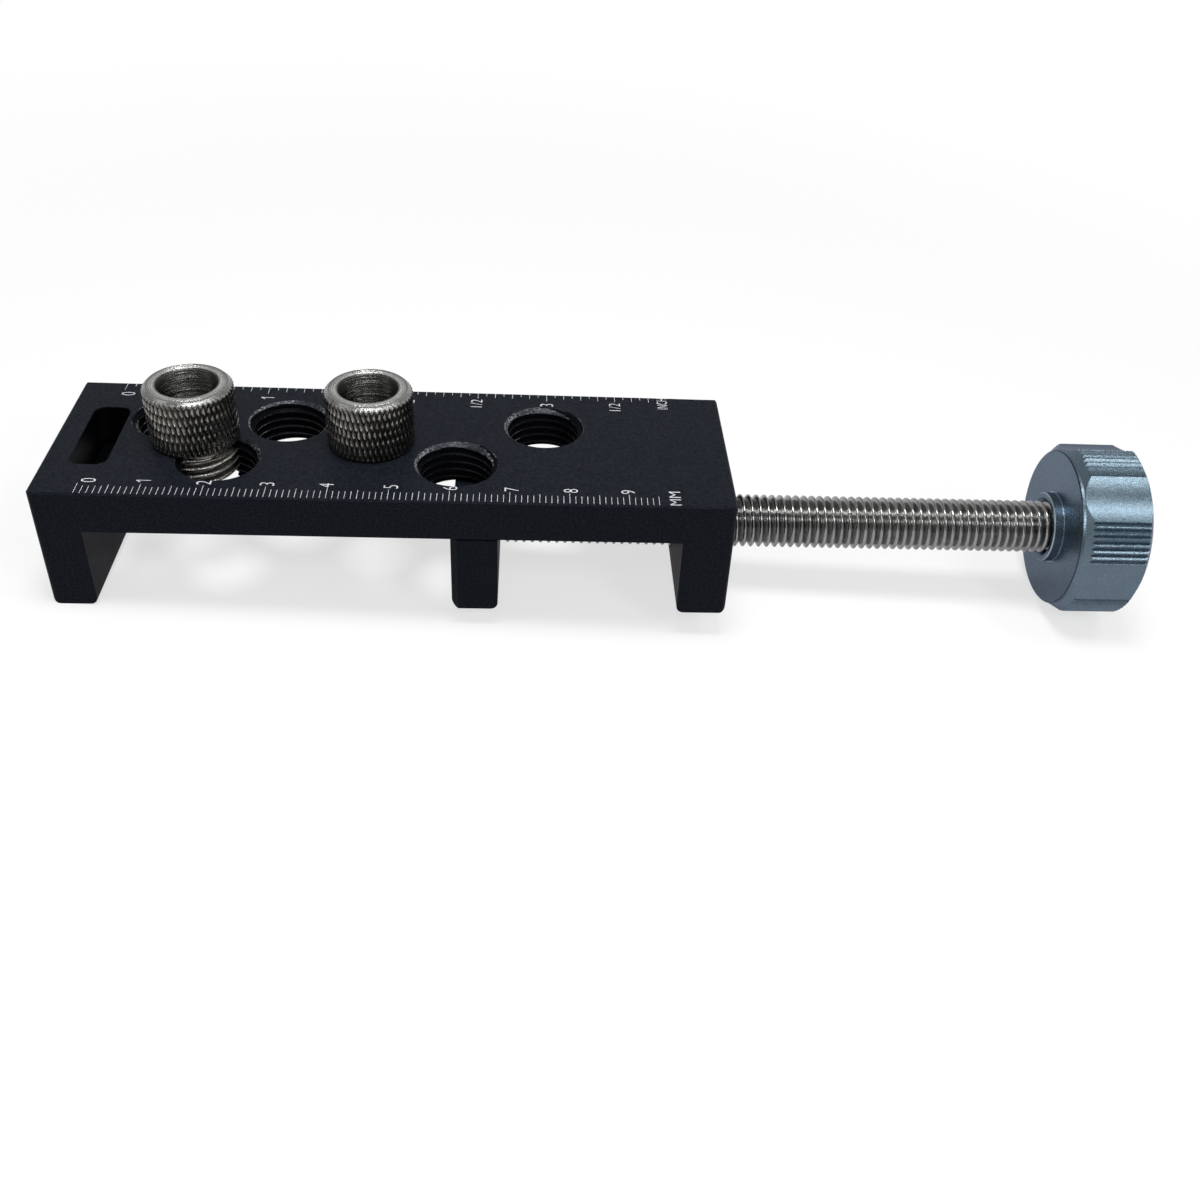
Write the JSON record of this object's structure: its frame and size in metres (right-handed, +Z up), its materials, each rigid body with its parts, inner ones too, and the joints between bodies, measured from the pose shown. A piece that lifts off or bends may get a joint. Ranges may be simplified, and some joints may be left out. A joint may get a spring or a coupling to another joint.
{
  "type": "self centering doweling jig",
  "caption": "Clamp-on drilling jig: a bridge plate with tapped holes, a jaw moved by a hand screw with a ribbed knob, and knurled drill bushes that screw in.",
  "frame": {"origin": "middle of the fixed jaw's clamping face, on the axis of the clamp screw", "axes": "+X along the clamp screw towards the knob, +Y to the back, +Z up out of the drilling plate"},
  "size_m": [0.1925, 0.0368, 0.0415],
  "materials": {
    "black_aluminium": "black anodised, satin, white engraved scales",
    "screw_steel": "turned stainless thread",
    "pin_steel": "ground",
    "knob_aluminium": "blasted and blue-grey anodised",
    "bush_steel": "turned and knurled"
  },
  "bodies": {
    "bridge": {"bridge": "black_aluminium"},
    "jaw": {"moving_jaw": "black_aluminium", "front_jaw_pin": "pin_steel", "back_jaw_pin": "pin_steel"},
    "screw": {"clamp_screw": "screw_steel", "knob": "knob_aluminium"},
    "bush_in_plate": {"seated_bush": "bush_steel"},
    "spare_bush": {"loose_bush": "bush_steel"}
  },
  "joints": [
    {"name": "jaw_slide", "type": "slide", "parent": "bridge", "child": "jaw", "axis": [1, 0, 0], "range_m": [-0.05995, 0.03145]},
    {"name": "screw_turn", "type": "hinge", "parent": "jaw", "child": "screw", "pos_m": [0.068, 0, 0], "axis": [1, 0, 0], "range_deg": [-14400, 7560]},
    {"name": "seated_bush_lift", "type": "slide", "parent": "bridge", "child": "bush_in_plate", "axis": [0, 0, 1], "range_m": [0, 0.02]},
    {"name": "loose_bush_lift", "type": "slide", "parent": "bridge", "child": "spare_bush", "axis": [0, 0, 1], "range_m": [0, 0.02]}
  ],
  "couplings": [
    {"joint": "screw_turn", "follows": "jaw_slide", "rad_per_m": 4188.8}
  ]
}
